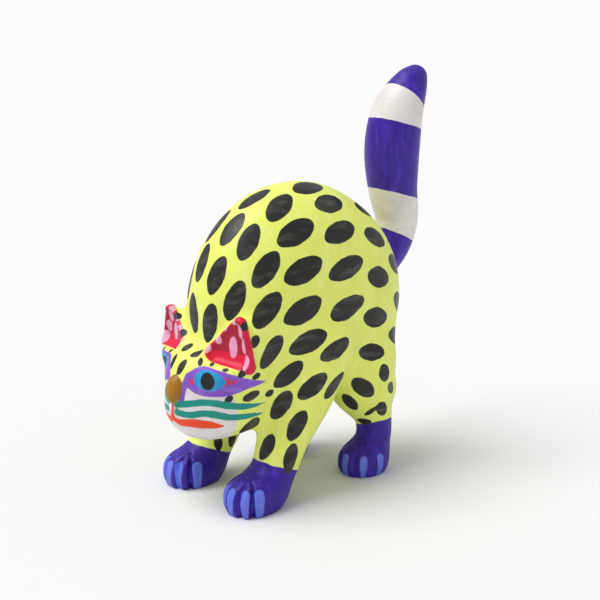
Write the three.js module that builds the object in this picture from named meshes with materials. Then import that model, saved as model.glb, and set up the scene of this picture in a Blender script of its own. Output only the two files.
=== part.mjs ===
// A carved and painted wooden cat in the manner of the Oaxacan carvings called alebrijes. It has a high
// arched back, a low head with two cupped ears, four legs on three-toed paws, and an upright tail.
// It is cut from one block, so it is one solid. Millimetres, +Z up. The cat faces -Y, its left side is +X.
// The origin is on the ground, under the middle of the whole cat.
import * as THREE from "three";

// Driving sizes.
const tailTip = 189; // the highest point, above the ground
const backTop = 140.5; // top of the arched back
const bellyLine = 45.5; // underside of the trunk
const trunkLength = 104;
const trunkWidth = 62;
const stance = 45; // middle of a left paw to middle of a right one
const pawSpread = 69; // middle of a front paw to middle of the left hind paw
const stride = 12; // how far the right hind paw stands in front of the left one
const foreleg = 24; // thickness at mid height
const shank = 18.4; // thickness of the hind leg above the paw
const pawLength = 27.2;
const pawWidth = 22.4;
const pawHeight = 16.5;
const pawWaist = 6; // how high above the ground the paws are widest
const toeGroove = 2.4; // width of the two cuts that part the toes
const headWidth = 49.2;
const headLength = 41.6;
const headHeight = 41.6;
const chin = 32.4; // underside of the head, above the ground
const headReach = 45; // how far the middle of the head lies in front of the middle of the trunk
const earRise = 15.4; // from the foot of the ear to the middle of its tip
const earWall = 6.4; // thickness of the ear before it is cupped
const earCup = 8.8; // width of the round tool that cups it
const earTilt = 2.1; // the left ear's tip stands this much above the middle of the two, the right one below
const noseLength = 13.6;
const tailGirth = 26.8;
const tailSweep = 39; // how far behind its root the tail ends

// How softly the forms run into each other. The two sides of the cat run into each other at the middle.
const soft = {
  rump: 10, chest: 14, belly: 16, thigh: 6, hindLeg: 7, hock: 5, frontLeg: 8, frontPaw: 6, hindPaw: 5,
  head: 8, muzzle: 6, earRoot: 6, tail: 4, ear: 4, nose: 2, cup: 1.8, toes: 1, middle: 8,
};

// How finely the skin is cut up: a coarse net first, then smaller triangles where the carving is fine.
const coarse = 5.3;
const fine = { toes: 3.2, ears: 1.8, nose: 2.6, limbs: 6.8 };

// The rounding where two forms meet, and the mixing of two distances.
const join = (a, b, round) => {
  const near = Math.max(round - Math.abs(a - b), 0) / round;
  return Math.min(a, b) - (near * near * round) / 4;
};
const cut = (a, b, round) => -join(-a, b, round);

// Turns a point about X by an angle, with `at` as the middle.
function leaned(at, lean) {
  const angle = THREE.MathUtils.degToRad(lean);
  const c = Math.cos(angle);
  const s = Math.sin(angle);
  return (p, out) => {
    const y = p.y - at[1];
    const z = p.z - at[2];
    return out.set(p.x - at[0], c * y + s * z, c * z - s * y);
  };
}

// An egg: about the distance to an ellipsoid.
function egg(at, half, lean = 0) {
  const turn = leaned(at, lean);
  const q = new THREE.Vector3();
  return (p) => {
    turn(p, q);
    const k = Math.hypot(q.x / half[0], q.y / half[1], q.z / half[2]);
    const slope = Math.hypot(q.x / half[0] ** 2, q.y / half[1] ** 2, q.z / half[2] ** 2);
    return (k * (k - 1)) / Math.max(slope, 1e-9);
  };
}

// A loaf: round or square in plan by one power, and square-shouldered in height by another.
function loaf(at, half, plan, rise, lean = 0) {
  const turn = leaned(at, lean);
  const q = new THREE.Vector3();
  const least = Math.min(...half);
  return (p) => {
    turn(p, q);
    const across = (Math.abs(q.x / half[0]) ** plan + Math.abs(q.y / half[1]) ** plan) ** (1 / plan);
    return ((across ** rise + Math.abs(q.z / half[2]) ** rise) ** (1 / rise) - 1) * least;
  };
}

// A limb: a smooth path whose thickness changes along it.
function limb(stations, pieces) {
  const path = new THREE.CatmullRomCurve3(
    stations.map(([x, y, z]) => new THREE.Vector3(x, y, z)), false, "catmullrom");
  const girth = new THREE.CatmullRomCurve3(
    stations.map(([, , , r]) => new THREE.Vector3(r, 0, 0)), false, "catmullrom");
  const points = path.getPoints(pieces);
  const radii = girth.getPoints(pieces).map((v) => v.x);
  const along = points.slice(1).map((b, i) => b.clone().sub(points[i]));
  const q = new THREE.Vector3();
  return (p) => {
    let least = Infinity;
    along.forEach((step, i) => {
      q.subVectors(p, points[i]);
      const t = THREE.MathUtils.clamp(q.dot(step) / step.lengthSq(), 0, 1);
      const reach = q.addScaledVector(step, -t).length();
      least = Math.min(least, reach - THREE.MathUtils.lerp(radii[i], radii[i + 1], t));
    });
    return least;
  };
}

// A leaf: a triangle of even thickness with round edges.
function leaf(corners, thickness) {
  const triangle = new THREE.Triangle(...corners);
  const q = new THREE.Vector3();
  return (p) => triangle.closestPointToPoint(p, q).distanceTo(p) - thickness / 2;
}

// The trunk's forms are placed and sized by shares of its own half sizes.
const trunkAt = [0, 0, (backTop + bellyLine) / 2];
const trunkHalf = [trunkWidth / 2, trunkLength / 2, (backTop - bellyLine) / 2];
const onTrunk = (shares) => shares.map((share, i) => trunkAt[i] + share * trunkHalf[i]);
const ofTrunk = (shares) => shares.map((share, i) => share * trunkHalf[i]);
const barrel = egg(trunkAt, trunkHalf);
const rump = egg(onTrunk([0, 0.44, -0.21]), ofTrunk([0.984, 0.721, 0.884]));
const chest = egg(onTrunk([0, -0.44, -0.4]), ofTrunk([0.935, 0.54, 0.842]));
const hollowRise = 0.67 * trunkHalf[2];
const bellyHollow = egg(
  [0, 0.02 * trunkHalf[1], 1.01 * bellyLine - hollowRise], [trunkWidth, 0.42 * trunkHalf[1], hollowRise]);

// The legs stand over the paws, and rise by shares of the height of the belly.
const pawX = stance / 2;
const frontPawY = -0.62 * pawSpread;
const hindPawY = frontPawY + pawSpread;
const pawHalf = [pawWidth / 2, pawLength / 2, pawHeight - pawWaist];
const hindPawHalf = [0.93 * pawHalf[0], 0.88 * pawHalf[1], 0.9 * pawHalf[2]];
const pawSquareness = 2.4;
const frontPaw = loaf([pawX, frontPawY, pawWaist], pawHalf, pawSquareness, pawSquareness);
const hindPaw = loaf([0.97 * pawX, hindPawY, 0.92 * pawWaist], hindPawHalf, pawSquareness, pawSquareness);
const legPieces = 16;
const legStation = (pawY, girth) => ([across, back, rise, thick]) => [
  across * pawX, pawY + back * pawLength, rise * bellyLine, (thick * girth) / 2];
const frontLeg = limb(
  [[0.755, 1.47, 1.49, 1.67], [0.867, 1.1, 1.055, 1.33], [0.955, 0.717, 0.68, 1],
    [1, 0.478, 0.395, 0.867], [1, 0.33, 0.242, 0.833]].map(legStation(frontPawY, foreleg)), legPieces);
const hindLeg = limb(
  [[0.845, 0, 1.143, 1.74], [0.933, 0.073, 0.88, 1.36], [0.978, 0.22, 0.615, 1],
    [0.978, 0.257, 0.395, 0.913], [0.978, 0.147, 0.198, 0.924]].map(legStation(hindPawY, shank)), legPieces);
const thigh = egg(
  [0.69 * pawX, hindPawY + 0.055 * pawLength, 1.36 * bellyLine], ofTrunk([0.565, 0.337, 0.674]), -4);
const hock = egg(
  [0.956 * pawX, hindPawY + 0.44 * pawLength, 0.89 * bellyLine],
  [0.41, 0.353, 0.435].map((share) => share * shank));

// Two shallow cuts run over the front of each paw, each one an arc in side view. They fade out on top.
function toeCuts(pawY, halfLength) {
  return [-1, 1].map((side) => (p) => {
    const back = (p.y - pawY) / halfLength;
    const rise = (p.z - pawWaist) / pawHalf[2];
    const across = p.x - pawX - side * (pawWidth / 6) * (1 - 0.27 * back);
    const arc = (Math.hypot(back - 0.07, rise) - 1) * halfLength;
    const fade = THREE.MathUtils.clamp(-back / 0.8, 0, 1);
    return Math.hypot(across, arc) - toeGroove * THREE.MathUtils.lerp(-0.42, 0.5, fade);
  });
}
const frontToeCuts = toeCuts(frontPawY, pawHalf[1]);
const hindToeCuts = toeCuts(hindPawY, hindPawHalf[1]);

// The head hangs low in front of the trunk. Its ears stand on its upper corners.
const headAt = [0, -headReach, chin + headHeight / 2];
const headHalf = [headWidth / 2, headLength / 2, headHeight / 2];
const onHead = (shares) => shares.map((share, i) => headAt[i] + share * headHalf[i]);
const ofHead = (shares) => shares.map((share, i) => share * headHalf[i]);
const head = loaf(headAt, headHalf, 2.1, 3, 8);
const muzzle = egg(onHead([0, -0.42, -0.38]), ofHead([0.66, 0.72, 0.62]));
const noseAt = onHead([0, -1.05, 0.21]);
const nose = egg(noseAt, [0.295 * noseLength, 0.25 * noseLength, noseLength / 2], -10);
const earFoot = headAt[2] + 0.82 * headHalf[2];
const earCorners = [[1, -0.29, 1], [0.386, -0.48, 0.06], [1.163, -0.24, -0.05]].map(([x, y, rise]) =>
  new THREE.Vector3(x * headHalf[0], headAt[1] + y * headHalf[1], earFoot + rise * earRise));
const earRoot = egg(onHead([0.83, 0.14, 0.95]), ofHead([0.366, 0.48, 0.65]), -8);
const earFacing = new THREE.Triangle(...earCorners).getNormal(new THREE.Vector3());
const ear = leaf(earCorners, earWall);
const earMiddle = new THREE.Triangle(...earCorners).getMidpoint(new THREE.Vector3());
const cupShare = 0.62; // the cup's triangle against the ear's, so that a rim is left
const cupOffset = earFacing.multiplyScalar(0.43 * earCup).add(new THREE.Vector3(0, 0, 0.07 * earRise));
const earHollow = leaf(
  earCorners.map((corner) => earMiddle.clone().lerp(corner, cupShare).add(cupOffset)), earCup);

// The tail leaves the rump, bends up and swells before its tip.
const tailRoot = onTrunk([0, 0.79, -0.19]);
const tipShare = 0.45; // the tip's thickness against the thickest place
const tailRise = tailTip - (tipShare * tailGirth) / 2 - tailRoot[2];
const tailPieces = 21;
const tail = limb(
  [[0, 0, 0.67], [0.564, 0.162, 0.71], [0.718, 0.313, 0.784], [0.641, 0.465, 0.896], [0.615, 0.657, 1],
    [0.692, 0.828, 0.933], [0.885, 0.95, 0.672], [1, 1, tipShare]].map(([back, rise, thick]) => [
    0, tailRoot[1] + back * tailSweep, tailRoot[2] + rise * tailRise, (thick * tailGirth) / 2]), tailPieces);

// A place as the forms read it. Both sides of the cat are the same but for the hind legs and the ears, so
// most forms are read at the mirrored point.
function sides(p) {
  const side = new THREE.Vector3(Math.abs(p.x), p.y, p.z);
  const low = THREE.MathUtils.clamp(1 - (p.z - pawHeight / 2) / (1.21 * bellyLine), 0, 1);
  const right = THREE.MathUtils.clamp(-p.x / soft.middle, 0, 1);
  const hindSide = side.clone().setY(p.y + stride * low * right);
  const upEar = THREE.MathUtils.clamp((p.z - earFoot) / (1.2 * earRise), 0, 1);
  const earLift = earTilt * Math.tanh(p.x / soft.middle) * upEar;
  return { side, hindSide, earSide: side.clone().setZ(p.z - earLift) };
}

// The body, legs, head and tail as one distance: less than zero is wood.
function body(p, { side, hindSide, earSide }) {
  let d = join(barrel(side), rump(side), soft.rump);
  d = join(d, chest(side), soft.chest);
  d = cut(d, bellyHollow(side), soft.belly);
  d = join(d, thigh(hindSide), soft.thigh);
  d = join(d, hindLeg(hindSide), soft.hindLeg);
  d = join(d, hock(hindSide), soft.hock);
  d = join(d, frontLeg(side), soft.frontLeg);
  d = join(d, frontPaw(side), soft.frontPaw);
  d = join(d, hindPaw(hindSide), soft.hindPaw);
  d = join(d, head(side), soft.head);
  d = join(d, muzzle(side), soft.muzzle);
  d = join(d, earRoot(earSide), soft.earRoot);
  return join(d, tail(p), soft.tail);
}

// The cat as it is first roughed out, with solid ears and plain paws, and as it is finished.
function roughedOut(p) {
  const at = sides(p);
  const d = join(body(p, at), ear(at.earSide), soft.ear);
  return join(d, nose(at.side), soft.nose);
}

function wood(p) {
  const at = sides(p);
  let d = cut(roughedOut(p), earHollow(at.earSide), soft.cup);
  for (const groove of frontToeCuts) d = cut(d, groove(at.side), soft.toes);
  for (const groove of hindToeCuts) d = cut(d, groove(at.hindSide), soft.toes);
  return d;
}

// Draws points to the surface of a form, down its slope.
function settle(points, form) {
  const rounds = 4;
  const nudge = 0.05; // apart from the point, to read the slope
  const leastSlope = 0.05;
  const longestStep = 1;
  const probe = new THREE.Vector3();
  const slope = new THREE.Vector3();
  for (const point of points) {
    for (let round = 0; round < rounds; round += 1) {
      for (const axis of ["x", "y", "z"]) {
        probe.copy(point)[axis] += nudge;
        const ahead = form(probe);
        probe[axis] -= 2 * nudge;
        slope[axis] = (ahead - form(probe)) / (2 * nudge);
      }
      const move = -form(point) / Math.max(slope.lengthSq(), leastSlope);
      point.add(slope.multiplyScalar(move).clampLength(0, longestStep));
    }
  }
}

// Where wood meets wood only across the diagonal of a net square, the emptier of its other two corners is
// filled, so that no edge of the skin is shared by four patches.
function joinDiagonals(value, count, strides, cells) {
  const barelyWood = -0.01;
  let filled = true;
  while (filled) {
    filled = false;
    for (const cell of cells) {
      for (const [one, two] of [[0, 1], [1, 2], [2, 0]]) {
        if (cell[one] + 1 === count[one] || cell[two] + 1 === count[two]) continue;
        const here = cell.reduce((sum, c, axis) => sum + c * strides[axis], 0);
        const [a, b] = [here, here + strides[one] + strides[two]];
        const [c, d] = [here + strides[one], here + strides[two]];
        const wooden = (corner) => value[corner] < 0;
        if (wooden(a) !== wooden(b) || wooden(c) !== wooden(d) || wooden(a) === wooden(c)) continue;
        const empty = wooden(a) ? [c, d] : [a, b];
        value[value[empty[0]] < value[empty[1]] ? empty[0] : empty[1]] = barelyWood;
        filled = true;
      }
    }
  }
}

// A coarse skin on a net: one point in each box of the net that the surface crosses, at the middle of its
// crossings, and two triangles across each net line that it crosses.
function coarseSkin(form, lines) {
  const count = lines.map((line) => line.length);
  const strides = [count[1] * count[2], count[2], 1];
  const place = (cell) => cell[0] * strides[0] + cell[1] * strides[1] + cell[2];
  const node = (cell) => new THREE.Vector3(...cell.map((c, axis) => lines[axis][c]));
  const cells = function* () {
    for (let i = 0; i < count[0]; i += 1)
      for (let j = 0; j < count[1]; j += 1) for (let k = 0; k < count[2]; k += 1) yield [i, j, k];
  };
  const value = new Float64Array(count[0] * strides[0]);
  for (const cell of cells()) value[place(cell)] = form(node(cell));
  joinDiagonals(value, count, strides, [...cells()]);

  const sums = new Map();
  const rings = [];
  for (const cell of cells()) {
    const here = place(cell);
    for (let axis = 0; axis < 3; axis += 1) {
      if (cell[axis] + 1 === count[axis]) continue;
      const there = here + strides[axis];
      if (value[here] < 0 === value[there] < 0) continue;
      const next = node(cell.map((c, i) => (i === axis ? c + 1 : c)));
      const crossing = node(cell).lerp(next, value[here] / (value[here] - value[there]));
      const [one, two] = [strides[(axis + 1) % 3], strides[(axis + 2) % 3]];
      const ring = [here - one - two, here - two, here, here - one];
      for (const cube of ring) {
        if (!sums.has(cube)) sums.set(cube, { sum: new THREE.Vector3(), crossings: 0 });
        sums.get(cube).sum.add(crossing);
        sums.get(cube).crossings += 1;
      }
      rings.push(value[here] < 0 ? ring : ring.reverse());
    }
  }
  const cubes = [...sums.keys()];
  const numbers = new Map(cubes.map((cube, i) => [cube, i]));
  const points = cubes.map((cube) => sums.get(cube).sum.divideScalar(sums.get(cube).crossings));
  const triangles = rings.flatMap((ring) => {
    const [a, b, c, d] = ring.map((cube) => numbers.get(cube));
    const short = points[a].distanceTo(points[c]) < points[b].distanceTo(points[d]);
    return short ? [[a, b, c], [a, c, d]] : [[a, b, d], [b, c, d]];
  });
  return { points, triangles };
}

// Halves each edge that is longer than it may be there, and cuts the triangles beside it to match.
function refine({ points, triangles }, longest) {
  const middles = new Map();
  const middle = (a, b) => {
    const key = `${Math.min(a, b)} ${Math.max(a, b)}`;
    if (!middles.has(key)) {
      const point = points[a].clone().lerp(points[b], 0.5);
      const long = points[a].distanceTo(points[b]) > longest(point);
      middles.set(key, long ? points.push(point) - 1 : -1);
    }
    return middles.get(key);
  };
  const cutUp = triangles.flatMap(([a, b, c]) => {
    const [ab, bc, ca] = [middle(a, b), middle(b, c), middle(c, a)];
    if (ab >= 0 && bc >= 0 && ca >= 0) return [[a, ab, ca], [ab, b, bc], [ca, bc, c], [ab, bc, ca]];
    const loop = [a, ab, b, bc, c, ca];
    const first = [ab, bc, ca].findIndex((m) => m >= 0);
    if (first < 0) return [[a, b, c]];
    const start = 2 * first + 1;
    const round = [...loop.slice(start), ...loop.slice(0, start)].filter((v) => v >= 0);
    return round.slice(2).map((v, i) => [round[0], round[i + 1], v]);
  });
  return { points, triangles: cutUp };
}

// How long an edge may be at a place: short on the toes, the ears and the nose.
const nosePoint = new THREE.Vector3(...noseAt);
function longestEdge(p) {
  const beside = 2;
  const side = new THREE.Vector3(Math.abs(p.x), p.y, p.z);
  const hindToes = p.y > frontPawY + pawLength && p.y < hindPawY - (p.x < 0 ? stride : 0);
  if (p.z < pawHeight && (p.y < frontPawY || hindToes)) return fine.toes;
  if (ear(side) < beside) return fine.ears;
  if (p.distanceTo(nosePoint) < noseLength) return fine.nose;
  return p.z < bellyLine || p.z > backTop || p.y < headAt[1] ? fine.limbs : Infinity;
}

// Evens out the net: each point moves a share of the way to the mean of its neighbours.
function even({ points, triangles }) {
  const share = 0.35;
  const sums = points.map(() => ({ sum: new THREE.Vector3(), neighbours: 0 }));
  for (const corners of triangles)
    corners.forEach((a, i) => {
      sums[a].sum.add(points[corners[(i + 1) % 3]]);
      sums[a].neighbours += 1;
    });
  points.forEach((point, i) => point.lerp(sums[i].sum.divideScalar(sums[i].neighbours), share));
}

// The net's lines along one axis, closer together between two places.
function netLines(low, high, closeFrom, closeTo) {
  const lines = [low];
  while (lines.at(-1) < high) {
    const close = lines.at(-1) >= closeFrom && lines.at(-1) < closeTo;
    lines.push(lines.at(-1) + (close ? coarse / 2 : coarse));
  }
  return lines;
}

const room = 2 * coarse;
const halfRoom = Math.max(trunkHalf[0], pawX + foreleg / 2, earCorners[2].x + earWall) + room;
const front = headAt[1] - headHalf[1] - room;
const back = tailRoot[1] + tailSweep + tailGirth / 2 + room;
const skinLines = [
  netLines(-halfRoom, halfRoom, 0, 0),
  netLines(front, back, headAt[1] - 1.2 * headHalf[1], headAt[1] + 0.1 * headHalf[1]),
  netLines(-room, tailTip + room, 0, 0),
];
let skin = coarseSkin(roughedOut, skinLines);
even(skin);
settle(skin.points, wood);
for (let round = 0; round < 2; round += 1) {
  skin = refine(skin, longestEdge);
  even(skin);
  settle(skin.points, wood);
}
even(skin);

// The soles are planed flat at the ground, where the paws are already drawing in.
for (const point of skin.points) point.z = Math.max(point.z, 0);

const geometry = new THREE.BufferGeometry().setFromPoints(skin.points);
geometry.setIndex(skin.triangles.flat());
geometry.computeBoundingBox();
const middle = geometry.boundingBox.getCenter(new THREE.Vector3());
geometry.translate(-middle.x, -middle.y, 0);
geometry.computeVertexNormals();

const paint = new THREE.MeshStandardMaterial({ color: 0xd2e05a, roughness: 0.5, metalness: 0 });
const cat = new THREE.Mesh(geometry, paint);
cat.name = "carved_cat";

const group = new THREE.Group();
group.add(cat);
export default group;
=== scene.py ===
import bpy
import numpy as np
from math import cos, radians, sin
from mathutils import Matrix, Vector


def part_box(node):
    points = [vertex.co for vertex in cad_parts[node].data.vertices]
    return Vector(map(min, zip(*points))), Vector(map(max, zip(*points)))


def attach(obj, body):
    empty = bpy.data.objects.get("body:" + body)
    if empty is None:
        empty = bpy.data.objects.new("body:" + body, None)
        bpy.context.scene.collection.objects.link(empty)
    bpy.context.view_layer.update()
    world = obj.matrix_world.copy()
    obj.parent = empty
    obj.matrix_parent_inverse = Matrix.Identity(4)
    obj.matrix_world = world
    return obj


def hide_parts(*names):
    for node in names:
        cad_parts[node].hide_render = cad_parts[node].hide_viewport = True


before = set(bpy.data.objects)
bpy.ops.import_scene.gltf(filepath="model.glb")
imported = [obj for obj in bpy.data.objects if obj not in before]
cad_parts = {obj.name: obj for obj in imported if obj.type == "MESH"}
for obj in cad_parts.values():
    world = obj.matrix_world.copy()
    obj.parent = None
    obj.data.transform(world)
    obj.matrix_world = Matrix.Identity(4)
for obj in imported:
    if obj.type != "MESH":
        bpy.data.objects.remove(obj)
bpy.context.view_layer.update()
print("loaded the solid")

# The camera stands where the photograph was taken from; metres and degrees
view = {"azimuth": 48.2, "elevation": 14.4, "distance": 0.6, "target": (0.0169, -0.0171, 0.0899), "lens": 80}


def setCamera():
    a, e = radians(view["azimuth"]), radians(view["elevation"])
    back = Vector((sin(a) * cos(e), -cos(a) * cos(e), sin(e)))
    lens = bpy.data.cameras.new("camera")
    lens.lens = view["lens"]
    lens.clip_start = 0.01
    camera = bpy.data.objects.new("camera", lens)
    camera.location = Vector(view["target"]) + view["distance"] * back
    camera.rotation_mode = "QUATERNION"
    camera.rotation_quaternion = back.to_track_quat("Z", "Y")
    bpy.context.scene.collection.objects.link(camera)
    bpy.context.scene.camera = camera


setCamera()
print("camera set")

# Sizes of the cat, in millimetres: the same ones as the solid was cut from
cat = {
    "tailTip": 189, "backTop": 140.5, "bellyLine": 45.5, "trunkLength": 104, "trunkWidth": 62,
    "stance": 45, "pawSpread": 69, "stride": 12, "foreleg": 24, "shank": 18.4,
    "pawLength": 27.2, "pawWidth": 22.4, "pawHeight": 16.5, "pawWaist": 6, "toeGroove": 2.4,
    "headWidth": 49.2, "headLength": 41.6, "headHeight": 41.6, "chin": 32.4, "headReach": 45,
    "earRise": 15.4, "earWall": 6.4, "earCup": 8.8, "earTilt": 2.1, "noseLength": 13.6,
    "tailGirth": 26.8, "tailSweep": 39,
}
# How softly the forms run into each other, in millimetres
soft = {
    "rump": 10, "chest": 14, "belly": 16, "thigh": 6, "hindLeg": 7, "hock": 5, "frontLeg": 8,
    "frontPaw": 6, "hindPaw": 5, "head": 8, "muzzle": 6, "brow": 4, "earRoot": 6, "tail": 4, "ear": 4,
    "nose": 2, "cup": 1.8, "toes": 1, "middle": 8,
}
# Rounded masses on the trunk and the head, in shares of its half sizes: the middle, the half sizes, and the
# lean in degrees. The brows, and a nose a little broader and lower, are finer carving than the solid has.
masses = {
    "rump": ([0, 0.44, -0.21], [0.984, 0.721, 0.884], 0),
    "chest": ([0, -0.44, -0.4], [0.935, 0.54, 0.842], 0),
    "muzzle": ([0, -0.42, -0.38], [0.66, 0.72, 0.62], 0),
    "brow": ([0.73, -0.25, 0.59], [0.375, 0.44, 0.27], 0),
    "earRoot": ([0.83, 0.14, 0.95], [0.366, 0.48, 0.65], -8),
}
nose = {"at": [-0.03, -1.08, 0.14], "half": [0.34, 0.28, 0.46], "lean": -10}
# The legs from the body down: across in shares of the paws' place, back of it in paw lengths, up in shares
# of the belly's height, and how thick in girths
legRows = {
    "hind": [[0.845, 0, 1.143, 1.74], [0.933, 0.073, 0.88, 1.36], [0.978, 0.22, 0.615, 1],
             [0.978, 0.257, 0.395, 0.913], [0.978, 0.147, 0.198, 0.924]],
    "front": [[0.755, 1.47, 1.49, 1.67], [0.867, 1.1, 1.055, 1.33], [0.955, 0.717, 0.68, 1],
              [1, 0.478, 0.395, 0.867], [1, 0.33, 0.242, 0.833]],
    "pieces": 32,
}
# The tail from its root: back in shares of its sweep, up in shares of its rise, and how thick in girths
tailForm = {
    "root": [0, 0.79, -0.19],
    "rows": [[0, 0, 0.67], [0.564, 0.162, 0.71], [0.718, 0.313, 0.784], [0.641, 0.465, 0.896],
             [0.615, 0.657, 1], [0.692, 0.828, 0.933], [0.885, 0.95, 0.672], [1, 1, 0.45]],
    "pieces": 42,
}
# Two grooves part each paw's toes, and a finer one on either side lies this many degrees from the front
toes = {"parts": 6, "fan": 0.27, "fineTurn": 54, "fineGroove": 1.5}

trunkHalf = np.array([cat["trunkWidth"], cat["trunkLength"], cat["backTop"] - cat["bellyLine"]]) / 2
trunkAt = np.array([0, 0, (cat["backTop"] + cat["bellyLine"]) / 2])
pawHalf = np.array([cat["pawWidth"] / 2, cat["pawLength"] / 2, cat["pawHeight"] - cat["pawWaist"]])
pawX = cat["stance"] / 2
frontPawY = -0.62 * cat["pawSpread"]
hindPawY = frontPawY + cat["pawSpread"]
headHalf = np.array([cat["headWidth"], cat["headLength"], cat["headHeight"]]) / 2
headAt = np.array([0, -cat["headReach"], cat["chin"] + headHalf[2]])
earFoot = headAt[2] + 0.82 * headHalf[2]
hindHalf = pawHalf * [0.93, 0.88, 0.9]


def join(a, b, width):
    # the smaller of two distances, less a quarter of the width where they are alike
    near = np.maximum(width - np.abs(a - b), 0) / width
    return np.minimum(a, b) - near ** 2 * width / 4


def cut(a, b, width):
    return -join(-a, b, width)


def leaned(points, at, lean):
    # the points as seen from a middle, turned about X
    c, s = cos(radians(lean)), sin(radians(lean))
    x, y, z = (points - at).T
    return np.stack([x, c * y + s * z, c * z - s * y])


def egg(points, at, half, lean=0):
    # about the distance to an ellipsoid: k (k - 1) / steep, where k is 1 on its skin
    q = leaned(points, at, lean)
    half = np.reshape(half, (3, 1))
    k = np.sqrt(((q / half) ** 2).sum(0))
    steep = np.sqrt(((q / half ** 2) ** 2).sum(0))
    return k * (k - 1) / np.maximum(steep, 1e-9)


def loaf(points, at, half, plan, rise, lean=0):
    # round or square in plan by one power, and square-shouldered in height by another
    x, y, z = np.abs(leaned(points, at, lean)) / np.reshape(half, (3, 1))
    across = (x ** plan + y ** plan) ** (1 / plan)
    return ((across ** rise + z ** rise) ** (1 / rise) - 1) * min(half)


def curve(stations, pieces):
    # a Catmull-Rom curve through the stations, at even steps of its parameter
    s = np.array(stations, float)
    s = np.vstack([2 * s[0] - s[1], s, 2 * s[-1] - s[-2]])
    along = np.linspace(0, len(s) - 3, pieces + 1)
    i = np.minimum(along.astype(int), len(s) - 4)
    t = (along - i)[:, None]
    a, b, c, d = s[i], s[i + 1], s[i + 2], s[i + 3]
    square, cube = a - 2.5 * b + 2 * c - d / 2, (3 * b - a - 3 * c + d) / 2
    return b + t * (c - a) / 2 + t ** 2 * square + t ** 3 * cube


def limb(points, stations, pieces):
    # a chain of round pieces along a curve, whose last column is the radius
    line = curve(stations, pieces)
    least = np.full(len(points), np.inf)
    for here, there in zip(line[:-1], line[1:]):
        step = there[:3] - here[:3]
        q = points - here[:3]
        t = np.clip(q @ step / (step @ step), 0, 1)
        reach = np.sqrt(((q - t[:, None] * step) ** 2).sum(1))
        least = np.minimum(least, reach - here[3] - t * (there[3] - here[3]))
    return least


def leaf(points, corners, thickness):
    # a triangle of even thickness with round edges
    a, b, c = corners
    normal = np.cross(b - a, c - a)
    edges = []
    within = np.ones(len(points), bool)
    for foot, tip in ((a, b), (b, c), (c, a)):
        q, step = points - foot, tip - foot
        t = np.clip(q @ step / (step @ step), 0, 1)
        edges.append(((q - t[:, None] * step) ** 2).sum(1))
        within &= q @ np.cross(normal, step) > 0
    flat = ((points - a) @ normal) ** 2 / (normal @ normal)
    return np.sqrt(np.where(within, flat, np.minimum.reduce(edges))) - thickness / 2


def onTrunk(shares):
    return trunkAt + shares * trunkHalf


def onHead(shares):
    return headAt + shares * headHalf


def mass(points, name, on, half):
    at, shares, lean = masses[name]
    return egg(points, on(at), half * shares, lean)


def trunkMass(points):
    return join(egg(points, trunkAt, trunkHalf), mass(points, "rump", onTrunk, trunkHalf), soft["rump"])


def legLimb(points, name, pawY, girth):
    across, back, rise, thick = np.array(legRows[name]).T
    stations = np.stack([across * pawX, pawY + back * cat["pawLength"], rise * cat["bellyLine"],
                         thick * girth / 2], 1)
    return limb(points, stations, legRows["pieces"])


def tailLimb(points):
    root = onTrunk(tailForm["root"])
    rise = cat["tailTip"] - 0.225 * cat["tailGirth"] - root[2]
    back, up, thick = np.array(tailForm["rows"]).T
    stations = np.stack([0 * back, root[1] + back * cat["tailSweep"], root[2] + up * rise,
                         thick * cat["tailGirth"] / 2], 1)
    return limb(points, stations, tailForm["pieces"])


def noseEgg(points):
    return egg(points, onHead(nose["at"]), cat["noseLength"] * np.array(nose["half"]), nose["lean"])


def toeCuts(d, points, pawY, half):
    # two arcs run over the front of a paw, fading out on top
    out = points[:, 0] - pawX
    back = (points[:, 1] - pawY) / half[1]
    rise = (points[:, 2] - cat["pawWaist"]) / pawHalf[2]
    fade = np.clip(-back / 0.8, 0, 1)
    arc = (np.hypot(back - 0.07, rise) - 1) * half[1]
    for side in (-1, 1):
        across = out - side * cat["pawWidth"] / toes["parts"] * (1 - toes["fan"] * back)
        d = cut(d, np.hypot(across, arc) - cat["toeGroove"] * (0.92 * fade - 0.42), soft["toes"])
    # the finer grooves fade out on top, underneath and towards the back
    around = np.arctan2(out / half[0], -back)
    fade = np.clip((1.4 - np.abs(rise)) / 0.8, 0, 1) * np.clip((np.cos(around) - 0.2) * 4, 0, 1)
    across = (np.abs(around) - radians(toes["fineTurn"])) * half[1]
    arc = (np.hypot(np.hypot(out / half[0], back), rise) - 1) * half[1]
    return cut(d, np.hypot(across, arc) - toes["fineGroove"] * fade + 0.4, soft["toes"])


# An ear is a leaf between three corners: the tip, the inner and the outer foot, in shares of the head and of
# the ear's rise. A smaller leaf before it cuts its cup.
earShares = np.array([[1, -0.29, 1], [0.386, -0.48, 0.06], [1.163, -0.24, -0.05]])
earCorners = [0, headAt[1], earFoot] + earShares * [*headHalf[:2], cat["earRise"]]
earFacing = np.cross(earCorners[1] - earCorners[0], earCorners[2] - earCorners[0])
earFacing = earFacing / np.linalg.norm(earFacing)
earMiddle = earCorners.mean(0)
cupOffset = earFacing * 0.43 * cat["earCup"] + [0, 0, 0.07 * cat["earRise"]]
cupCorners = earMiddle + 0.62 * (earCorners - earMiddle) + cupOffset


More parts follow.
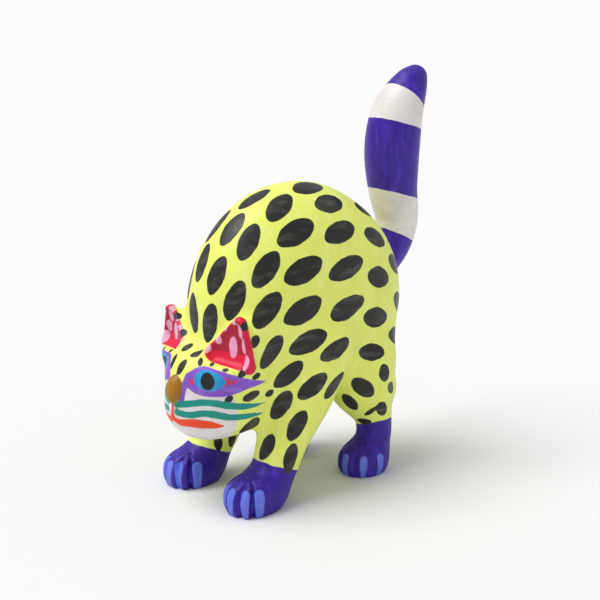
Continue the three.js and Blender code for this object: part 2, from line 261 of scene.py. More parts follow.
def sides(points):
    # the points on the left side, for the forms that are alike on both sides, then the same points with the
    # right hind leg's stride taken out, and with the ears' tilt taken out
    x, y, z = points.T
    side = np.stack([np.abs(x), y, z], 1)
    low = np.clip(1 - (z - cat["pawHeight"] / 2) / (1.21 * cat["bellyLine"]), 0, 1)
    right = np.clip(-x / soft["middle"], 0, 1)
    hindSide = np.stack([np.abs(x), y + cat["stride"] * low * right, z], 1)
    share = np.clip((z - earFoot) / (1.2 * cat["earRise"]), 0, 1)
    earSide = np.stack([np.abs(x), y, z - cat["earTilt"] * np.tanh(x / soft["middle"]) * share], 1)
    return side, hindSide, earSide


def wood(points):
    # the whole cat as one distance, less than zero inside
    side, hindSide, earSide = sides(points)
    d = join(trunkMass(side), mass(side, "chest", onTrunk, trunkHalf), soft["chest"])
    rise = 0.67 * trunkHalf[2]
    hollowAt = [0, 0.02 * trunkHalf[1], 1.01 * cat["bellyLine"] - rise]
    d = cut(d, egg(side, hollowAt, [cat["trunkWidth"], 0.42 * trunkHalf[1], rise]), soft["belly"])
    thighAt = [0.69 * pawX, hindPawY + 0.055 * cat["pawLength"], 1.36 * cat["bellyLine"]]
    d = join(d, egg(hindSide, thighAt, trunkHalf * [0.565, 0.337, 0.674], -4), soft["thigh"])
    d = join(d, legLimb(hindSide, "hind", hindPawY, cat["shank"]), soft["hindLeg"])
    hockAt = [0.956 * pawX, hindPawY + 0.44 * cat["pawLength"], 0.89 * cat["bellyLine"]]
    d = join(d, egg(hindSide, hockAt, np.array([0.41, 0.353, 0.435]) * cat["shank"]), soft["hock"])
    d = join(d, legLimb(side, "front", frontPawY, cat["foreleg"]), soft["frontLeg"])
    d = join(d, loaf(side, [pawX, frontPawY, cat["pawWaist"]], pawHalf, 2.4, 2.4), soft["frontPaw"])
    d = join(d, loaf(hindSide, [0.97 * pawX, hindPawY, 0.92 * cat["pawWaist"]], hindHalf, 2.4, 2.4),
             soft["hindPaw"])
    d = join(d, loaf(side, headAt, headHalf, 2.1, 3, 8), soft["head"])
    d = join(d, mass(side, "muzzle", onHead, headHalf), soft["muzzle"])
    d = join(d, mass(side, "brow", onHead, headHalf), soft["brow"])
    d = join(d, mass(earSide, "earRoot", onHead, headHalf), soft["earRoot"])
    d = join(d, tailLimb(points), soft["tail"])
    d = join(d, leaf(earSide, earCorners, cat["earWall"]), soft["ear"])
    d = join(d, noseEgg(points), soft["nose"])
    d = cut(d, leaf(earSide, cupCorners, cat["earCup"]), soft["cup"])
    d = toeCuts(d, side, frontPawY, pawHalf)
    return toeCuts(d, hindSide, hindPawY, hindHalf)


def enlarged(cells, times):
    for axis in range(3):
        cells = np.repeat(cells, times, axis)
    return cells


def netDistances(lines, step, block):
    # the form's distance at the net's points, measured in the blocks that the skin is near to; the other
    # blocks take one corner's
    sparse = np.stack(np.meshgrid(*[line[::block] for line in lines], indexing="ij"), -1)
    rough = wood(sparse.reshape(-1, 3)).reshape(sparse.shape[:3])
    ends = (slice(None, -1), slice(1, None))
    corners = [(i, j, k) for i in ends for j in ends for k in ends]
    atCorners = np.abs([rough[corner] for corner in corners])
    near = enlarged(atCorners.min(0) < 2.2 * block * step, block)
    value = enlarged(rough, block)[tuple(slice(len(line)) for line in lines)]
    close = np.zeros(value.shape, bool)
    for corner in corners:
        close[corner] |= near
    value[close] = wood(np.stack([line[n] for line, n in zip(lines, np.nonzero(close))], 1))
    return value


def skinNet(low, high, step, block=4):
    # a net of cubes over the box: one point in each cube that the skin crosses, at the mean of its
    # crossings, and one four-sided face round each net line that it crosses
    lines = [a + step * np.arange(block * np.ceil((b - a) / (block * step)) + 1) for a, b in zip(low, high)]
    value = netDistances(lines, step, block)
    inside = value < 0
    crossings, rings = [], []
    for axis in range(3):
        at = np.argwhere(np.diff(inside, axis=axis))
        a, b = value[tuple(at.T)], value[tuple((at + np.eye(3, dtype=int)[axis]).T)]
        crossing = np.stack([line[n] for line, n in zip(lines, at.T)], 1)
        crossing[:, axis] += a / (a - b) * step
        ring = []
        for back, left in ((1, 1), (0, 1), (0, 0), (1, 0)):
            cube = at - np.roll([0, back, left], axis)
            ring.append(np.ravel_multi_index(cube.T, value.shape))
        ring = np.stack(ring, 1)
        crossings.append(crossing)
        rings.append(np.where((a < 0)[:, None], ring, ring[:, ::-1]))
    faces, count = np.unique(np.concatenate(rings), return_inverse=True, return_counts=True)[1:]
    shared = np.repeat(np.concatenate(crossings), 4, axis=0)
    points = np.stack([np.bincount(faces.ravel(), column) for column in shared.T], 1) / count[:, None]
    return points, faces.reshape(-1, 4)


def slope(points, nudge=0.05):
    steps = np.eye(3) * nudge
    return np.stack([wood(points + step) - wood(points - step) for step in steps], 1) / (2 * nudge)


def settle(points, rounds=3):
    # draws the points down the form's slope to its skin
    for _ in range(rounds):
        down = slope(points)
        move = -down * (wood(points) / np.maximum((down ** 2).sum(1), 0.05))[:, None]
        points = points + move / np.maximum(1, np.linalg.norm(move, axis=1))[:, None]
    return points


# Where the paint lies. Each coat is kept on the points as the distance in millimetres to the edge of its
# paint, less than zero under the paint, so that the shader can draw a crisp edge between the points.
farOff = 9.0  # a coat's distance is kept only up to here
headZone = {"before": -28, "above": 30}  # the head's points lie before this y and above this height
spotEnds = 1.85  # the power of a spot's outline: 2 is an ellipse, and less has sharper ends


def unrolled(points):
    # how far round the front of the head a point lies, and its height
    x, y = points[:, 0] / headHalf[0], (headAt[1] - points[:, 1]) / headHalf[1]
    return headHalf[0] * np.arctan2(x, y), points[:, 2]


def stroke(across, up, rows):
    # the distance to a brush stroke whose rows are across, up and half width, with a smooth path
    rows = np.array(rows, float)
    flat = np.stack([across, up, 0 * up], 1)
    return limb(flat, np.insert(rows, 2, 0, axis=1), 5 * (len(rows) - 1))


def oval(across, up, middle, half):
    k = np.hypot((across - middle[0]) / half[0], (up - middle[1]) / half[1])
    return (k - 1) * min(half)


def lengthOne(vectors):
    return vectors / np.linalg.norm(vectors, axis=1)[:, None]


def spotDistance(points, middles, tilts, lengths, widths):
    # the least distance to a set of ovals, each laid on the skin at its middle and turned in its plane
    least = np.full(len(points), farOff)
    normals = lengthOne(slope(middles))
    level = lengthOne(np.cross([0, 0, 1], normals))
    upward = np.cross(normals, level)
    for i, middle in enumerate(middles):
        near = np.flatnonzero(((points - middle) ** 2).sum(1) < (0.8 * lengths[i] + 4) ** 2)
        q = points[near] - middle
        c, s = cos(radians(tilts[i])), sin(radians(tilts[i]))
        halfLong, halfWide = lengths[i] / 2, widths[i] / 2
        along = (c * level[i] + s * upward[i]) @ q.T / halfLong
        across = (c * upward[i] - s * level[i]) @ q.T / halfWide
        k = (np.abs(along) ** spotEnds + np.abs(across) ** spotEnds) ** (1 / spotEnds)
        steep = np.hypot(along / halfLong, across / halfWide)
        onSkin = np.abs(q @ normals[i]) < 0.8 * halfLong + 1
        d = np.where(onSkin, k * (k - 1) / np.maximum(steep, 1e-9), farOff)
        d[k < 1e-6] = -halfWide
        least[near] = np.minimum(least[near], d)
    return least


# The black spots of the body lie in rows round the trunk. Each pair is how far round, in degrees from the
# front towards the left, and how high, in millimetres. The front spots stand upright, those on the flank lie
# down, those behind lean back, and low down they get smaller and stand up again.
bodySpots = {
    "rows": [
        [(112, 138.8), (-120, 139)],
        [(1, 135.7), (35, 132.9), (115, 132), (163, 125)],
        [(6, 124.6), (20, 120), (53, 122.6), (106, 120), (144, 114)],
        [(-5, 109.7), (8, 105.8), (33, 108.7), (58, 106.6), (102, 104.4), (132, 97), (154, 99)],
        [(-5, 87.5), (7, 85), (19, 95.8), (35, 91.7), (57, 89.6), (99, 86.5), (126, 79), (152, 81)],
        [(38, 73.6), (60, 75.2), (81, 70), (122, 63), (142, 67)],
        [(46.5, 61.2), (63, 55), (81, 53)],
        [(42, 47), (52, 38), (34, 28.5), (48, 23.7)],
    ],
    "mirroredFrom": 30,  # degrees; nearer the front the right side has its own
    "rightFront": [(-12, 124), (-16.5, 100.5)],
    "behind": [(166, 66), (-163, 64), (180, 48), (180, 72)],
    # how far round, and there the tilt in degrees, the length and the width
    "round": [0, 20, 35, 57, 81, 102, 126, 145, 165],
    "tilt": [84, 70, 50, 18, 20, 12, -10, -24, -30],
    "long": [18, 18.5, 19, 22, 20.5, 22.5, 16.5, 18, 18],
    "wide": [8.2, 8.8, 9.8, 11, 9.2, 10, 10, 9.6, 9],
    # how high, and there the share of that size
    "height": [20, 50, 66, 84], "share": [0.66, 0.76, 0.83, 1],
    # between these heights the tilt goes over to standing, on the front half of the body
    "standing": 75, "standBetween": [20, 70], "standTo": 100,
    "reach": 75,  # farther out than the trunk and the head
}
# The few on the legs lie their own ways: how far round the leg, how high, tilt, length and width
legSpots = {
    "hind": [(35, 46.1, 135, 13.7, 8.4), (75, 52.4, 114, 9.6, 6.8), (106, 43, 138, 9.6, 5),
             (9, 37.7, 117, 10.7, 7), (51, 33.1, 42, 8, 3), (80, 33.5, 127, 9.5, 6), (28, 26.5, 0, 7.6, 4.6),
             (-60, 40, 60, 10, 7), (150, 34, 80, 10, 6), (-110, 34, 90, 9, 6), (170, 48, 100, 11, 7)],
    "front": [(-102, 19.5, 84, 8, 4.4), (-133, 19.5, 84, 9, 5), (168, 30, 84, 12, 6.4)],
    "middleX": 0.97 * pawX, "hindY": hindPawY + 3.8, "frontY": frontPawY + 6.8, "rightStride": 0.7,
    "reach": 22,  # farther out than a leg, and short of the next one
}


def meetSkin(middle, turn, rise, reach):
    # from outside towards an upright line, to where each direction first meets the skin
    away = np.linspace(reach, 0, 376)
    out = np.stack([np.sin(np.radians(turn)), -np.cos(np.radians(turn)), 0 * turn], 1)
    line = np.stack([0 * rise + middle[0], 0 * rise + middle[1], rise], 1)
    rays = out[:, None] * away[:, None] + line[:, None]
    inside = wood(rays.reshape(-1, 3)).reshape(len(turn), -1) < 0
    return rays[np.arange(len(turn)), np.argmax(inside, axis=1)]


def placeBodySpots():
    # the rows' spots on both sides, with the tilts and sizes that their places give them
    rows = np.array([pair for row in bodySpots["rows"] for pair in row], float)
    mirrored = rows[np.abs(rows[:, 0]) > bodySpots["mirroredFrom"]] * [-1, 1]
    turn, rise = np.vstack([rows, mirrored, bodySpots["rightFront"], bodySpots["behind"]]).T
    around = np.abs(turn)
    tilt, long, wide = [np.interp(around, bodySpots["round"], bodySpots[name])
                        for name in ("tilt", "long", "wide")]
    share = np.interp(rise, bodySpots["height"], bodySpots["share"])
    stand = np.interp(rise, bodySpots["standBetween"], [1, 0]) * (around < bodySpots["standTo"])
    tilt = (tilt * (1 - stand) + bodySpots["standing"] * stand) * np.where(turn < 0, -1, 1)
    middles = meetSkin([0, 0], turn, rise, bodySpots["reach"])
    return middles, np.stack([tilt, long * share, wide * share], 1)


def placeLegSpots(name, y, side, back):
    turn, rise, tilt, long, wide = np.array(legSpots[name], float).T
    middle = [side * legSpots["middleX"], y - (back if side < 0 else 0)]
    middles = meetSkin(middle, side * turn, rise, legSpots["reach"])
    return middles, np.stack([side * tilt, long, wide], 1)


def bodyBlack(points):
    stride = cat["stride"] * legSpots["rightStride"]
    groups = [placeBodySpots()]
    for side in (1, -1):
        groups.append(placeLegSpots("hind", legSpots["hindY"], side, stride))
        groups.append(placeLegSpots("front", legSpots["frontY"], side, 0))
    middles, sizes = [np.concatenate(part) for part in zip(*groups)]
    return spotDistance(points, middles, *sizes.T)


# The face is painted on the unrolled head: across from the face's middle, up from the ground, half width
face = {
    "middle": -1.5,  # the eyes sit this far to the cat's right
    "eyePatch": [(9, 61.5, 3.6), (14, 61.8, 6), (20, 61.6, 6.3), (28, 61.2, 5.2), (36, 60.6, 2.9),
                 (42, 60.2, 1.5), (47.5, 59.9, 0.3)],
    "tearLine": [(8.5, 62, 3), (6, 58, 1.4), (5.2, 51.5, 1.2)],
    "innerCorner": [(9.6, 61.2, 1.3), (12, 62, 1.6)],
    "outerCorner": [(25.2, 62.6, 2.3), (31.2, 62.6, 0.3)],
    "upperWhisker": [(2.8, 49.9, 1.4), (8.8, 51.3, 1.5), (15.2, 52.6, 1.5), (21.2, 52.6, 1.6),
                     (27.1, 51.4, 1.6), (34.1, 50.4, 1.5), (41.5, 49.6, 1), (49.8, 49.2, 0.3)],
    "lowerWhisker": [(3.1, 46.4, 1.4), (9.1, 46.4, 1.5), (15.3, 47.7, 1.5), (21.1, 47.2, 1.7),
                     (27.2, 45.9, 1.6), (34.3, 45.4, 1.5), (41.9, 45, 1), (49.4, 44.3, 0.3)],
    "mouthMiddle": -0.8,
    "mouth": [(0, 50, 0.7), (0, 45.5, 1), (0.9, 42.6, 1.2), (4, 42, 1.6), (9.5, 42.6, 2.1), (16.5, 42.5, 2),
              (20.5, 42, 1.4), (24, 41.7, 0.5)],
    # ovals: middle, half sizes
    "iris": [(18.3, 62.5), (7.6, 4.4)],
    "pupil": [(17.6, 62.2), (3.4, 3.8)],
    # the white of the muzzle: how far across at its widest, at what height, how it narrows, and its top
    "white": {"across": 31, "at": 44, "narrowing": 0.02, "top": 57.5},
    # small black marks: across, up, tilt, length, width; those beyond the first number are on both sides
    "mirroredFrom": 15,
    "marks": [(6.4, 71.5, 38, 7.3, 3.6), (-7.1, 72.4, 43, 6.6, 3.2), (0.4, 65.8, 78, 8.1, 4.2),
              (-8.4, 66.4, 105, 7.4, 3.2), (26.3, 54.1, 36, 4.6, 3), (38.2, 54.2, 8, 9.4, 4.2),
              (50.2, 53.3, 10, 5, 3.4), (41.5, 38.6, 48, 11, 9), (37.8, 79.9, 39, 6.7, 4.6)],
    "lashes": [(11, 69.1, 110, 4.3, 2.8), (18.4, 69.1, 100, 3, 2.2), (24.4, 67.9, 8, 3.1, 2),
               (30.5, 66.3, 50, 4.6, 3.1), (38.9, 64.3, 0, 4.6, 3.8)],
}


def faceMarks(points, rows):
    # small marks laid on the points of the head that are nearest to them, and mirrored
    across, up = unrolled(points)
    onHeadOnly = (points[:, 1] < headZone["before"]) & (points[:, 2] > headZone["above"])
    away = np.where(onHeadOnly, 0, np.inf)
    rows = np.array(rows, float)
    rows = np.vstack([rows, rows[rows[:, 0] > face["mirroredFrom"]] * [-1, 1, -1, 1, 1]])
    nearest = [np.argmin((across - u) ** 2 + (up - z) ** 2 + away) for u, z in rows[:, :2]]
    return spotDistance(points, points[nearest], *rows[:, 2:].T)


# The ears' paint: how far off the leaf's skin and behind its middle the crimson counts, how near the cup's
# wall and how far above the ear's foot the painted shade of the cup counts, a darker crimson for the shadow
# on the cup's wall, then the pink dots as seen from the front (across, up, width, height, and how much of
# each they reach from their middles) and the black dots on the edges, one at the left tip and two on the
# right ear
earPaint = {
    "over": 0.45, "behind": 1.6, "cupShadeWall": 0.5, "cupShadeFrom": 3.4,
    "pinkDots": [(22.2, 87.4, 2.3, 4), (17.4, 84.2, 2.3, 3.5), (13.7, 79.1, 2.5, 4.6),
                 (9.4, 74.3, 2.2, 2.8), (24.6, 82.9, 2.3, 5), (26.6, 77.3, 2.6, 5.4),
                 (29, 71.5, 3.3, 5.4), (20.5, 76, 3.4, 7.4)],
    "pinkHalf": (0.62, 0.58),
    "edgeDots": [(27.1, -50.7, 87.2), (-18.6, -51.9, 82.9), (-11.4, -54.3, 76.8)], "edgeDotHalf": 2.1,
}

# The socks' upper edges: how high, how they climb and from where, and how much lower the right front one is.
# No sock passes the top, and the front ones are those before the place between the legs.
socks = {"front": (20.9, -0.38, -36), "hind": (25.5, 0.3, 26), "rightFront": -4.5, "top": 31, "between": -8}
# The tail's bands end at these heights, and fall this much towards the back, as from this far back
tailBands = [(176, 0.9, 70), (162, 0.31, 65), (128, 0.3, 65), (109.1, 0.54, 63)]

# The claws' stripes: how far round each paw, in degrees from the front towards its outer side, how high they
# reach, their half width, the hind ones' share of that, how they draw in towards the top of the toes, and
# the height that all stay under
claws = {"front": [-70, -28, 1, 38, 69], "hind": [-50, -3, 50, 97], "top": 13, "halfWidth": 2.05,
         "hindShare": 0.85, "drawnIn": 26, "below": 17}


def clawStripes(points, turns, pawY, half, share):
    # upright stripes over the toes with round upper ends, wrapped round the paw
    x, y, z = np.abs(points[:, 0]), points[:, 1], points[:, 2]
    around = np.arctan2((x - pawX) / half[0], (pawY - y) / half[1])
    width = claws["halfWidth"] * share
    high = np.maximum(z - claws["top"] * share + width, 0)
    girth = (half[0] + half[1]) / 2 * np.clip(1.25 - z / claws["drawnIn"], 0.6, 1.2)
    least = np.minimum.reduce([np.hypot((around - radians(turn)) * girth, high) - width for turn in turns])
    onPaw = (z < claws["below"]) & (np.abs(y - pawY) < 1.3 * half[1])
    return np.where(onPaw, least, farOff)


def sockAndTail(points, side):
    # the violet of the socks and the whole tail, the white of its bands, and the tail itself
    x, y, z = points.T
    edge, climb, at = socks["front"]
    front = z - edge - climb * (y - at) - np.where(x < 0, socks["rightFront"], 0)
    edge, climb, at = socks["hind"]
    hind = z - edge - climb * (np.abs(x) - at)
    sock = np.maximum(np.where(y < socks["between"], front, hind), z - socks["top"])
    behindRoot = y > onTrunk(tailForm["root"])[1]
    onTail = np.where(behindRoot, tailLimb(points) - trunkMass(side) + 1, farOff)
    ends = [z + fall * (y - at) - height for height, fall, at in tailBands]
    bands = np.minimum(np.maximum(ends[0], -ends[1]), np.maximum(ends[2], -ends[3]))
    return np.minimum(sock, onTail), np.maximum(bands, onTail), onTail


def earCoats(points):
    # the crimson of the leaf's front and edge, a darker crimson painted as shade on the cup's wall, and the
    # pink dots
    ahead = (points - earCorners[0]) @ earFacing
    skin = leaf(points, earCorners, cat["earWall"])
    red = np.maximum(skin - earPaint["over"], -ahead - earPaint["behind"])
    cup = np.abs(leaf(points, cupCorners, cat["earCup"])) - earPaint["cupShadeWall"]
    # a darker crimson on the cup's wall: painted shade where the ear's cup lies in shadow
    paintedCupShade = np.maximum(np.maximum(cup, red), earFoot + earPaint["cupShadeFrom"] - points[:, 2])
    dots = [oval(points[:, 0], points[:, 2], dot[:2], np.multiply(dot[2:], earPaint["pinkHalf"]))
            for dot in earPaint["pinkDots"]]
    return red, paintedCupShade, np.maximum(np.minimum.reduce(dots), red)


def paintCoats(points):
    # every coat of paint over the ground coat, with the painted shade in the ears' cups, in the order of
    # painting
    side, hindSide, earSide = sides(points)
    across, up = unrolled(points)
    eye = np.abs(across - face["middle"])
    inZone = (points[:, 1] < headZone["before"]) & (points[:, 2] > headZone["above"])
    head = np.where(inZone, -farOff, farOff)

    def strokes(*names):
        return np.maximum(np.minimum.reduce([stroke(eye, up, face[name]) for name in names]), head)

    violet, bands, onTail = sockAndTail(points, side)
    white = face["white"]
    whiteEdge = white["across"] - white["narrowing"] * (up - white["at"]) ** 2
    muzzle = np.maximum(np.maximum(np.abs(across) - whiteEdge, up - white["top"]), head)
    black = np.minimum(np.maximum(bodyBlack(points), -onTail), faceMarks(points, face["marks"]))
    crimson, paintedCupShade, pink = earCoats(earSide)
    mouth = stroke(np.abs(across - face["mouthMiddle"]), up, face["mouth"])
    pupil = np.maximum(oval(eye, up, *face["pupil"]), head)
    edgeDots = [np.linalg.norm(points - dot, axis=1) - earPaint["edgeDotHalf"]
                for dot in earPaint["edgeDots"]]
    frontClaws = clawStripes(points, claws["front"], frontPawY, pawHalf, 1)
    hindClaws = clawStripes(hindSide, claws["hind"], hindPawY, hindHalf, claws["hindShare"])
    coats = {
        "violet": violet,
        "white": np.minimum(bands, muzzle),
        "black": black,
        "purple": strokes("eyePatch", "tearLine"),
        "crimson": crimson,
        # painted shade: the darker crimson on the wall of each ear's cup
        "paintedCupShade": paintedCupShade,
        "pink": pink,
        "rose": strokes("innerCorner", "outerCorner"),
        "blue": np.maximum(oval(eye, up, *face["iris"]), head),
        "teal": strokes("upperWhisker", "lowerWhisker"),
        "orange": np.maximum(mouth, head),
        "ochre": noseEgg(points) - 0.4,
        "lash": np.minimum.reduce([faceMarks(points, face["lashes"]), pupil, *edgeDots]),
        "periwinkle": np.minimum(frontClaws, hindClaws),
    }
    return {name: np.clip(d, -farOff, farOff) for name, d in coats.items()}


# The paints as they look in plain daylight, out of 255: as mixed, where the bristles parted and where they
# pressed it together. The last number is how far, in millimetres, the coat's edge wanders.
paints = {
    "ground": ((233, 243, 114), (240, 249, 148), (222, 233, 92), 0),
    "violet": ((50, 16, 150), (84, 46, 196), (36, 8, 116), 1.2),
    "white": ((228, 222, 218), (240, 236, 234), (190, 180, 190), 1),
    "black": ((30, 30, 28), (84, 84, 78), (18, 18, 17), 1.1),
    "purple": ((134, 84, 200), (160, 118, 216), (106, 58, 176), 0.7),
    "crimson": ((222, 6, 60), (240, 20, 60), (200, 0, 52), 0.7),
    # painted shade: a darker crimson that stands for the shadow on the wall of the ears' cups
    "paintedCupShade": ((176, 0, 48), (190, 4, 54), (148, 0, 38), 0.7),
    "pink": ((236, 168, 204), (246, 196, 222), (226, 138, 184), 0.6),
    "rose": ((206, 44, 108), (220, 80, 132), (180, 26, 84), 0.7),
    "blue": ((14, 148, 212), (54, 176, 226), (4, 116, 184), 0.3),
    "teal": ((0, 144, 128), (10, 160, 142), (0, 122, 112), 0.7),
    "orange": ((240, 66, 8), (246, 90, 22), (228, 52, 4), 0.7),
    "ochre": ((164, 114, 8), (190, 140, 32), (132, 88, 4), 0.7),
    "lash": ((22, 22, 26), (52, 52, 56), (12, 12, 14), 0.4),
    "periwinkle": ((100, 118, 228), (122, 138, 234), (70, 84, 200), 0.7),
}
# the coats that were brushed along the cat; the others were brushed up and down
brushedAlong = ("black", "teal", "purple", "white")


def linear(colour):
    # from the 0 to 255 of a paint chart to the light it sends back
    share = np.array(colour) / 255
    return (*np.where(share < 0.04045, share / 12.92, ((share + 0.055) / 1.055) ** 2.4), 1)


def newGroup(name, inputs, outputs):
    group = bpy.data.node_groups.new(name, "ShaderNodeTree")
    for label, kind, value in inputs:
        socket = group.interface.new_socket(name=label, in_out="INPUT", socket_type=kind)
        socket.default_value = value
    for label, kind in outputs:
        group.interface.new_socket(name=label, in_out="OUTPUT", socket_type=kind)
    return group, group.nodes.new("NodeGroupInput"), group.nodes.new("NodeGroupOutput")


def give(tree, socket, value):
    # a socket takes either a link from another node or a value
    if isinstance(value, bpy.types.NodeSocket):
        tree.links.new(value, socket)
    else:
        socket.default_value = value


def addNode(tree, kind, settings=None, **inputs):
    node = tree.nodes.new(kind)
    for name, value in (settings or {}).items():
        setattr(node, name, value)
    for name, value in inputs.items():
        give(tree, node.inputs[name.replace("_", " ")], value)
    return node


def reckon(tree, kind, operation, *values):
    # one calculation, with numbers or with vectors
    node = addNode(tree, kind, {"operation": operation})
    for socket, value in zip(node.inputs, values):
        give(tree, socket, value)
    return node.outputs[0]


def layOver(tree, share, under, over):
    # one colour over another by a share; a mix node keeps its colours in the seventh and eighth sockets
    node = addNode(tree, "ShaderNodeMix", {"data_type": "RGBA"}, Factor=share)
    give(tree, node.inputs[6], under)
    give(tree, node.inputs[7], over)
    return node.outputs[2]


def brushGroup():
    # long fine streaks that lie as they are told to, and a broad unevenness as of paint put on by hand
    group, given, result = newGroup("brush streaks", [("Lie", "NodeSocketVector", (1, 1, 1))],
                                    [("Streaks", "NodeSocketFloat"), ("Cloud", "NodeSocketFloat")])
    place = addNode(group, "ShaderNodeTexCoord").outputs["Object"]
    sway = addNode(group, "ShaderNodeTexNoise", Vector=place, Scale=45.0, Detail=2.0)
    swayed = reckon(group, "ShaderNodeVectorMath", "MULTIPLY_ADD", sway.outputs["Color"],
                    (0.012, 0.012, 0.012), place)
    laid = reckon(group, "ShaderNodeVectorMath", "MULTIPLY", swayed, given.outputs["Lie"])
    hairs = addNode(group, "ShaderNodeTexNoise", Vector=laid, Scale=260.0, Detail=4.0, Roughness=0.6)
    cloud = addNode(group, "ShaderNodeTexNoise", Vector=place, Scale=70.0, Detail=3.0, Roughness=0.55)
    group.links.new(hairs.outputs["Fac"], result.inputs["Streaks"])
    group.links.new(cloud.outputs["Fac"], result.inputs["Cloud"])
    return group


def edgeGroup():
    # from the distance to a coat's edge to where the paint is: a crisp edge, as uneven as a hand's
    group, given, result = newGroup(
        "coat edge", [("Distance", "NodeSocketFloat", farOff), ("Unevenness", "NodeSocketFloat", 0.5)],
        [("Mask", "NodeSocketFloat")])
    place = addNode(group, "ShaderNodeTexCoord").outputs["Object"]
    wave = addNode(group, "ShaderNodeTexNoise", Vector=place, Scale=210.0, Detail=2.0)
    centred = reckon(group, "ShaderNodeMath", "SUBTRACT", wave.outputs["Fac"], 0.5)
    moved = reckon(group, "ShaderNodeMath", "MULTIPLY_ADD", centred, given.outputs["Unevenness"],
                   given.outputs["Distance"])
    mask = addNode(group, "ShaderNodeMapRange", Value=moved, From_Min=0.16, From_Max=-0.16)
    group.links.new(mask.outputs[0], result.inputs["Mask"])
    return group


def toneGroup():
    # one paint's three tones: thin where the bristles parted, thick where they pressed it together
    colour = ("NodeSocketColor", (1, 1, 1, 1))
    number = ("NodeSocketFloat", 0.5)
    group, given, result = newGroup("brushed tone", [
        ("Paint", *colour), ("Thin", *colour), ("Thick", *colour), ("Streaks", *number), ("Cloud", *number)],
        [("Colour", "NodeSocketColor")])
    thin = addNode(group, "ShaderNodeMapRange", Value=given.outputs["Streaks"], From_Min=0.5, From_Max=0.72,
                   To_Max=0.8)
    thick = addNode(group, "ShaderNodeMapRange", Value=given.outputs["Cloud"], From_Min=0.42, From_Max=0.8,
                    To_Max=0.6)
    first = layOver(group, thin.outputs[0], given.outputs["Paint"], given.outputs["Thin"])
    second = layOver(group, thick.outputs[0], first, given.outputs["Thick"])
    group.links.new(second, result.inputs["Colour"])
    return group


def reliefGroup():
    # the soft facets that a knife leaves in wood, the ridges of the brush, the grain and each coat's edge
    group, given, result = newGroup(
        "hand work relief", [("Streaks", "NodeSocketFloat", 0.5), ("Coats", "NodeSocketFloat", 0)],
        [("Normal", "NodeSocketVector"), ("Roughness", "NodeSocketFloat")])
    place = addNode(group, "ShaderNodeTexCoord").outputs["Object"]
    facets = addNode(group, "ShaderNodeTexVoronoi", {"feature": "SMOOTH_F1"}, Vector=place, Scale=95.0,
                     Smoothness=0.7)
    grain = addNode(group, "ShaderNodeTexNoise", Vector=place, Scale=900.0, Detail=3.0)
    carved = addNode(group, "ShaderNodeBump", Height=facets.outputs["Distance"], Strength=0.12,
                     Distance=0.0025)
    brushed = addNode(group, "ShaderNodeBump", Height=given.outputs["Streaks"], Strength=0.14,
                      Distance=0.0006, Normal=carved.outputs[0])
    fine = addNode(group, "ShaderNodeBump", Height=grain.outputs["Fac"], Strength=0.1, Distance=0.0003,
                   Normal=brushed.outputs[0])
    layered = addNode(group, "ShaderNodeBump", Height=given.outputs["Coats"], Strength=0.35,
                      Distance=0.00015, Normal=fine.outputs[0])
    rough = addNode(group, "ShaderNodeMapRange", Value=given.outputs["Streaks"], From_Min=0.3, From_Max=0.7,
                    To_Min=0.36, To_Max=0.5)
    group.links.new(layered.outputs[0], result.inputs["Normal"])
    group.links.new(rough.outputs[0], result.inputs["Roughness"])
    return group


def paintedWood():
    # one material: the coats lie over each other in the order in which they were painted
    material = bpy.data.materials.new("painted wood")
    material.use_nodes = True
    tree = material.node_tree
    shader = tree.nodes["Principled BSDF"]
    makers = (brushGroup, edgeGroup, toneGroup, reliefGroup)
    brush, edge, tone, relief = [{"node_tree": make()} for make in makers]
    upright = addNode(tree, "ShaderNodeGroup", brush, Lie=(1, 1, 0.16))
    lying = addNode(tree, "ShaderNodeGroup", brush, Lie=(0.5, 0.22, 1))
    colour = None
    height = 0
    for name, (mixed, thin, thick, uneven) in paints.items():
        strokes = lying if name in brushedAlong else upright
        brushed = addNode(tree, "ShaderNodeGroup", tone, Paint=linear(mixed), Thin=linear(thin),
                          Thick=linear(thick), Streaks=strokes.outputs["Streaks"],
                          Cloud=strokes.outputs["Cloud"])
        if name == "ground":
            colour = brushed.outputs["Colour"]
            continue
        reach = addNode(tree, "ShaderNodeAttribute", {"attribute_name": "to " + name})
        mask = addNode(tree, "ShaderNodeGroup", edge, Distance=reach.outputs["Fac"], Unevenness=uneven)
        colour = layOver(tree, mask.outputs["Mask"], colour, brushed.outputs["Colour"])
        height = reckon(tree, "ShaderNodeMath", "ADD", height, mask.outputs["Mask"])
    surface = addNode(tree, "ShaderNodeGroup", relief, Streaks=upright.outputs["Streaks"], Coats=height)
    tree.links.new(colour, shader.inputs["Base Color"])
    tree.links.new(surface.outputs["Roughness"], shader.inputs["Roughness"])
    tree.links.new(surface.outputs["Normal"], shader.inputs["Normal"])
    shader.inputs["Specular IOR Level"].default_value = 0.38
    return material


# The net of the cat's skin, in millimetres
skinNetSizes = {
    "spacing": 0.95,
    "low": [-42, -76, -8],
    "high": [42, 92, 193],
}


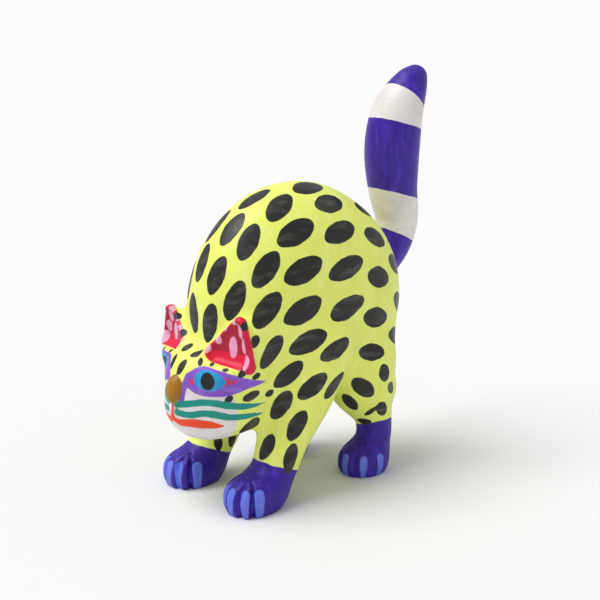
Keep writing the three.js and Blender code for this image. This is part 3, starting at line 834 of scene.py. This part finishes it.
def buildCat():
    # the skin as a net, drawn onto the form, planed flat at the ground, then set where the solid is
    points, faces = skinNet(skinNetSizes["low"], skinNetSizes["high"], skinNetSizes["spacing"])
    points = settle(points)
    points[:, 2] = np.maximum(points[:, 2], 0)
    low, high = [np.array(corner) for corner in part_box("carved_cat")]
    shift = (low + high) / 2 - (points.min(0) + points.max(0)) / 2000
    placed = points / 1000 + [shift[0], shift[1], 0]
    mesh = bpy.data.meshes.new("painted_cat")
    mesh.from_pydata(placed.tolist(), [], faces.tolist())
    mesh.polygons.foreach_set("use_smooth", np.ones(len(faces), bool))
    piece = bpy.data.objects.new("painted_cat", mesh)
    bpy.context.scene.collection.objects.link(piece)
    print("cat's skin:", len(points), "points,", 2 * len(faces), "triangles")
    coats = paintCoats(points)
    for name, reach in coats.items():
        layer = mesh.attributes.new("to " + name, "FLOAT", "POINT")
        layer.data.foreach_set("value", reach.astype(np.float32))
    mesh.materials.append(paintedWood())
    print("painted with", len(coats), "coats over the ground")
    return piece


catPiece = buildCat()
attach(catPiece, "root")
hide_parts("carved_cat")

# The studio: a pale floor, the even light of a white room and one large soft light from the left. The room
# lights less than it is bright to look at, so that the wall behind is as white as the floor.
studio = {
    "floorColour": (0.8, 0.8, 0.8, 1), "floorReach": 14,  # metres
    "roomColour": (1, 1, 1, 1), "roomLight": 0.6, "roomSeen": 0.96,
    "keyFrom": (-0.42, -0.6, 1.5), "keyLight": 2.12, "keySpread": 40,  # watts a square metre, degrees
}


def buildStudio():
    mesh = bpy.data.meshes.new("floor")
    reach = studio["floorReach"]
    mesh.from_pydata([(-reach, -reach, 0), (reach, -reach, 0), (reach, reach, 0), (-reach, reach, 0)], [],
                     [(0, 1, 2, 3)])
    floor = bpy.data.objects.new("floor", mesh)
    bpy.context.scene.collection.objects.link(floor)
    paper = bpy.data.materials.new("pale paper")
    paper.use_nodes = True
    shader = paper.node_tree.nodes["Principled BSDF"]
    shader.inputs["Base Color"].default_value = studio["floorColour"]
    shader.inputs["Roughness"].default_value = 0.9
    shader.inputs["Specular IOR Level"].default_value = 0
    mesh.materials.append(paper)
    light = bpy.data.lights.new("key", "SUN")
    light.energy = studio["keyLight"]
    light.angle = radians(studio["keySpread"])
    lamp = bpy.data.objects.new("key", light)
    lamp.location = studio["keyFrom"]
    lamp.rotation_mode = "QUATERNION"
    lamp.rotation_quaternion = Vector(studio["keyFrom"]).to_track_quat("Z", "Y")
    bpy.context.scene.collection.objects.link(lamp)
    room = bpy.data.worlds.new("room")
    room.use_nodes = True
    tree = room.node_tree
    lit = tree.nodes["Background"]
    lit.inputs["Color"].default_value = studio["roomColour"]
    lit.inputs["Strength"].default_value = studio["roomLight"]
    seen = addNode(tree, "ShaderNodeBackground", Color=studio["roomColour"], Strength=studio["roomSeen"])
    ray = addNode(tree, "ShaderNodeLightPath")
    mixed = addNode(tree, "ShaderNodeMixShader")
    give(tree, mixed.inputs[0], ray.outputs["Is Camera Ray"])
    give(tree, mixed.inputs[1], lit.outputs[0])
    give(tree, mixed.inputs[2], seen.outputs[0])
    give(tree, tree.nodes["World Output"].inputs["Surface"], mixed.outputs[0])
    bpy.context.scene.world = room
    # the paints' own colours, without a film's soft shoulder
    bpy.context.scene.view_settings.view_transform = "Standard"


buildStudio()
print("studio set")
